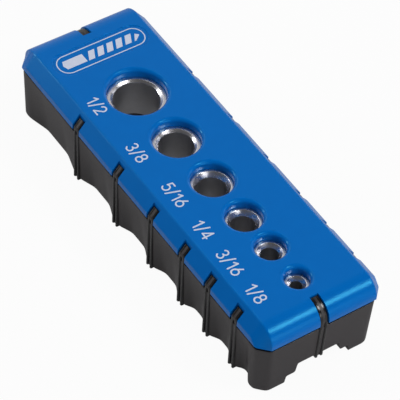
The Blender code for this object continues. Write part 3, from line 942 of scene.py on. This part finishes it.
# Each character as strokes in units of its own height, with its width
characters = {
    "1": (0.40, [[(0.04, 0.76), (0.30, 0.985)], [(0.30, 0.985), (0.30, 0.0)]]),
    "2": (0.60, [arc(0.29, 0.72, 0.26, 0.27, 170, -35, 14) + [(0.02, 0.0)], [(0.02, 0.0), (0.58, 0.0)]]),
    "3": (0.58, [arc(0.26, 0.755, 0.225, 0.235, 155, -90, 14), arc(0.26, 0.26, 0.26, 0.26, 90, -155, 16)]),
    "4": (0.62, [[(0.60, 0.25), (0.0, 0.25)], [(0.0, 0.25), (0.44, 1.0)], [(0.44, 1.0), (0.44, 0.0)]]),
    "5": (0.58, [
        [(0.50, 1.0), (0.14, 1.0)], [(0.14, 1.0), (0.08, 0.57)], arc(0.26, 0.33, 0.28, 0.32, 130, -150, 16),
    ]),
    "6": (0.60, [arc(0.29, 0.31, 0.28, 0.31, 0, 360, 24)[:-1], [(0.055, 0.42), (0.40, 1.0)]]),
    "8": (0.60, [
        arc(0.29, 0.755, 0.22, 0.235, 0, 360, 22)[:-1], arc(0.29, 0.265, 0.28, 0.265, 0, 360, 24)[:-1],
    ]),
    "/": (0.42, [[(0.0, -0.08), (0.38, 1.08)]]),
}


def ribbon(shape, line, width, bottom, top, closed):
    """A flat stroke along a line without sharp corners: closed on itself, or with round ends."""
    line = np.array(line)
    along = np.roll(line, -1, 0) - np.roll(line, 1, 0) if closed else np.gradient(line, axis=0)
    along *= width / 2 / np.linalg.norm(along, axis=1)[:, None]
    side = np.stack([-along[:, 1], along[:, 0]], 1)
    rows = list(zip(line + side, line - side))
    if not closed:
        for share in (0.5, 0.8, 0.98):
            half = math.sqrt(1 - share * share)
            tip = line[0] - along[0] * share
            rows.insert(0, (tip + side[0] * half, tip - side[0] * half))
            tip = line[-1] + along[-1] * share
            rows.append((tip + side[-1] * half, tip - side[-1] * half))
    loops = []
    for left, right in rows:
        loops.append([shape.verts.new((*point, height)) for point, height in (
            (left, top), (right, top), (right, bottom), (left, bottom))])
    for index in range(len(loops) - (0 if closed else 1)):
        near, far = loops[index], loops[(index + 1) % len(loops)]
        for a in range(4):
            b = (a + 1) % 4
            shape.faces.new((near[a], near[b], far[b], far[a]))
    if not closed:
        shape.faces.new(loops[0])
        shape.faces.new(loops[-1])


def write_mark(shape, text, centre_x, centre_y, cap, width, level):
    """Writes a size so that its characters stand towards +X and read towards -Y."""
    gap = 0.17
    total = sum(characters[letter][0] for letter in text) + gap * (len(text) - 1)
    along = -total / 2
    for letter in text:
        advance, lines = characters[letter]
        for count, points in enumerate(lines):
            closed = len(points) > 20 and letter in "68"
            placed = [(centre_x + (y - 0.5) * cap, centre_y - (along + x) * cap) for x, y in points]
            # Strokes that cross differ a little in height, so that no two tops lie in one plane
            top = level + ink_height + 0.002 * MM * count
            ribbon(shape, placed, width, level - ink_root, top, closed)
        along += advance + gap


def finish_print(shape, name):
    """Turns a drawn print into a piece in the pale ink."""
    bmesh.ops.recalc_face_normals(shape, faces=shape.faces)
    printed = mesh_object(name, [], [])
    shape.to_mesh(printed.data)
    shape.free()
    printed.data.materials.append(ink)
    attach(printed, "root")


# Pad printing ink: a pale lilac-white, matt film that lets a little of the blue through.
ink, tree, place = start_material("pad_printed_ink")
film = add_node(tree, "ShaderNodeTexNoise", {"Vector": place, "Scale": 900.0, "Detail": 3.0})
tone = add_node(tree, "ShaderNodeMix", {
    "Factor": film.outputs["Fac"], "A": linear("#BFC7DD"), "B": linear("#D0D6E6"),
}, data_type="RGBA")
finish_material(tree, {"Base Color": tone.outputs["Result"], "Roughness": 0.55, "IOR": 1.48})

shape = bmesh.new()
# The middle of each mark across the block, and along it from its bore, in millimetres
mark_places = {
    "1_2": (-11.95, 0.9), "3_8": (-11.9, 0.7), "5_16": (-11.4, 0.25),
    "1_4": (-11.75, 1.25), "3_16": (-11.95, 0.6), "1_8": (-12.0, 0.85),
}
for bore in bores:
    across, along = mark_places[bore[0]]
    text = bore[0].replace("_", "/")
    write_mark(shape, text, across * MM, bore[2] + along * MM, mark_height, stroke, top_height)
finish_print(shape, "size_marks")

# Panel print: a plain drawing of a twist drill inside a thin border line, in the same ink, on the
# shallow panel at the back of the cover.
border_inset = 1.15 * MM
border_width = 0.3 * MM
shape = bmesh.new()
level = top_height - panel_depth
border = [(x, y) for x, y, _ in stadium(border_inset, level)]
ribbon(shape, border, border_width, level - ink_root, level + ink_height, True)


def patch(outline):
    """A filled patch of ink. Its outline is given in millimetres from the panel's middle."""
    low = [shape.verts.new((x * MM, panel_y + y * MM, level - ink_root)) for x, y in outline]
    high = [shape.verts.new((x * MM, panel_y + y * MM, level + ink_height)) for x, y in outline]
    for index in range(len(outline)):
        after_index = (index + 1) % len(outline)
        shape.faces.new((low[index], low[after_index], high[after_index], high[index]))
    shape.faces.new(low)
    shape.faces.new(high)


# The shank, five flutes that lean forwards, and the point
half = 1.55
flute_start = -4.7
flute_pitch = 2.9
flute_width = 1.9
flute_lean = 1.5
patch([(-11.3, -half), (-5.2, -half), (-5.2, half), (-11.3, half), (-11.9, 0.0)])
for count in range(5):
    low = flute_start + flute_pitch * count
    high = low + flute_lean
    patch([(low, -half), (low + flute_width, -half), (high + flute_width, half), (high, half)])
patch([(9.8, -half), (10.3, -half), (12.2, 0.0), (11.2, 0.95)])
finish_print(shape, "panel_print")

# Studio: a white paper floor that keeps the block's shadow, a plain surround that is pale near the
# horizon and at the back, so that the plastics and the steel have something to mirror, and seven
# softboxes. Camera rays see the surround as white.
floor_reach = 3.0
floor_drop = 0.02 * MM
floor = mesh_object("floor", [
    (-floor_reach, -floor_reach, 0.0), (floor_reach, -floor_reach, 0.0),
    (floor_reach, floor_reach, 0.0), (-floor_reach, floor_reach, 0.0),
], [(0, 1, 2, 3)])
floor.location.z = -floor_drop
# Matt paper: a soft white. Seen directly it is lit up to a near white, and in mirrors only a little.
paper, tree, place = start_material("white_paper")
tooth = add_node(tree, "ShaderNodeTexNoise", {"Vector": place, "Scale": 30.0})
tone = add_node(tree, "ShaderNodeMix", {
    "Factor": tooth.outputs["Fac"], "A": linear("#C4C4C4"), "B": linear("#C8C8C8"),
}, data_type="RGBA")
cloth = add_node(tree, "ShaderNodeBsdfDiffuse", {"Color": tone.outputs["Result"]})
glow = add_node(tree, "ShaderNodeEmission", {"Color": (1.0, 1.0, 1.0, 1.0), "Strength": 1.0})
ray = add_node(tree, "ShaderNodeLightPath").outputs
mirrored = add_node(tree, "ShaderNodeMath", {
    0: ray["Is Glossy Ray"], 1: ray["Is Transmission Ray"],
}, operation="MAXIMUM")
dimmed = add_node(tree, "ShaderNodeMath", {0: mirrored.outputs["Value"], 1: 0.15}, operation="MULTIPLY")
seen = add_node(tree, "ShaderNodeMath", {0: ray["Is Camera Ray"], 1: 0.95}, operation="MULTIPLY")
share = add_node(tree, "ShaderNodeMath", {
    0: seen.outputs["Value"], 1: dimmed.outputs["Value"],
}, operation="MAXIMUM")
blend = add_node(tree, "ShaderNodeMixShader", {
    "Fac": share.outputs["Value"], 1: cloth.outputs["BSDF"], 2: glow.outputs["Emission"],
})
add_node(tree, "ShaderNodeOutputMaterial", {"Surface": blend.outputs["Shader"]})
floor.data.materials.append(paper)

world = bpy.data.worlds.new("studio")
bpy.context.scene.world = world
world.use_nodes = True
tree = world.node_tree
tree.nodes.clear()
ray = add_node(tree, "ShaderNodeLightPath").outputs
heading = add_node(tree, "ShaderNodeTexCoord").outputs["Generated"]
parts = add_node(tree, "ShaderNodeSeparateXYZ", {"Vector": heading})
horizon = add_node(tree, "ShaderNodeMapRange", {
    "Value": parts.outputs["Z"], "From Min": 0.03, "From Max": 0.16, "To Min": 0.6, "To Max": 0.03,
}, interpolation_type="SMOOTHSTEP")
back_part = add_node(tree, "ShaderNodeVectorMath", {
    0: heading, 1: (0.34, 0.94, 0.0),
}, operation="DOT_PRODUCT")
behind = add_node(tree, "ShaderNodeMapRange", {
    "Value": back_part.outputs["Value"], "From Min": 0.2, "From Max": 0.62, "To Min": 0.1, "To Max": 0.66,
}, interpolation_type="SMOOTHSTEP")
around = add_node(tree, "ShaderNodeMath", {
    0: horizon.outputs["Result"], 1: behind.outputs["Result"],
}, operation="MAXIMUM")
mirrored = add_node(tree, "ShaderNodeMath", {
    0: ray["Is Glossy Ray"], 1: ray["Is Transmission Ray"],
}, operation="MAXIMUM")
lighting = add_node(tree, "ShaderNodeMix", {
    "Factor": mirrored.outputs["Value"], "A": 0.33, "B": around.outputs["Value"],
})
strength = add_node(tree, "ShaderNodeMix", {
    "Factor": ray["Is Camera Ray"], "A": lighting.outputs["Result"], "B": 1.0,
})
backdrop = add_node(tree, "ShaderNodeBackground", {
    "Color": (1.0, 1.0, 1.0, 1.0), "Strength": strength.outputs["Result"],
})
add_node(tree, "ShaderNodeOutputWorld", {"Surface": backdrop.outputs["Background"]})


def direction(azimuth, elevation):
    """The unit vector from the block towards a compass place, from angles in degrees."""
    a, e = math.radians(azimuth), math.radians(elevation)
    return Vector((math.sin(a) * math.cos(e), -math.cos(a) * math.cos(e), math.sin(e)))


def softbox(name, azimuth, elevation, width, height, power):
    """An area lamp at a compass place round the block, facing it."""
    lamp = bpy.data.lights.new(name, "AREA")
    lamp.shape = "RECTANGLE"
    lamp.size = width
    lamp.size_y = height
    lamp.energy = power
    made = bpy.data.objects.new(name, lamp)
    away = direction(azimuth, elevation)
    made.location = away * lamp_distance
    made.rotation_euler = away.to_track_quat("Z", "Y").to_euler()
    bpy.context.scene.collection.objects.link(made)


lamp_distance = 1.2
softbox("softbox_back_right", 120.0, 14.0, 0.5, 0.5, 0.9)
softbox("softbox_front", 8.0, 14.0, 0.6, 0.4, 3.6)
softbox("softbox_behind", 185.0, 66.0, 0.45, 0.45, 1.2)
softbox("softbox_behind_low", 180.0, 36.0, 0.5, 0.4, 0.9)
softbox("softbox_back_left", -140.0, 20.0, 0.3, 0.35, 4.0)
softbox("softbox_right", 75.0, 14.0, 0.4, 0.4, 1.1)
softbox("softbox_high_right", 40.0, 50.0, 0.34, 0.3, 5.6)

# Camera: a long lens from high on the left, rolled by about five degrees.
focal_pixels = 2450.0
picture_pixels = 400.0
camera_azimuth = -37.424
camera_elevation = 48.521
camera_distance = 657.0 * MM
camera_target = Vector((6.02 * MM, 4.36 * MM, 0.0))
lens_camera = bpy.data.cameras.new("camera")
lens_camera.sensor_width = 36.0
lens_camera.lens = focal_pixels / picture_pixels * lens_camera.sensor_width
azimuth, roll = math.radians(camera_azimuth), math.radians(5.07)
back = direction(camera_azimuth, camera_elevation)
level_right = Vector((math.cos(azimuth), math.sin(azimuth), 0.0))
level_up = back.cross(level_right)
right = level_right * math.cos(roll) + level_up * math.sin(roll)
up = level_up * math.cos(roll) - level_right * math.sin(roll)
camera = bpy.data.objects.new("camera", lens_camera)
turned = Matrix((right, up, back)).transposed().to_4x4()
camera.matrix_world = Matrix.Translation(camera_target + back * camera_distance) @ turned
lens_camera.clip_start = 0.01
bpy.context.scene.collection.objects.link(camera)
bpy.context.scene.camera = camera
bpy.context.scene.view_settings.view_transform = "Standard"
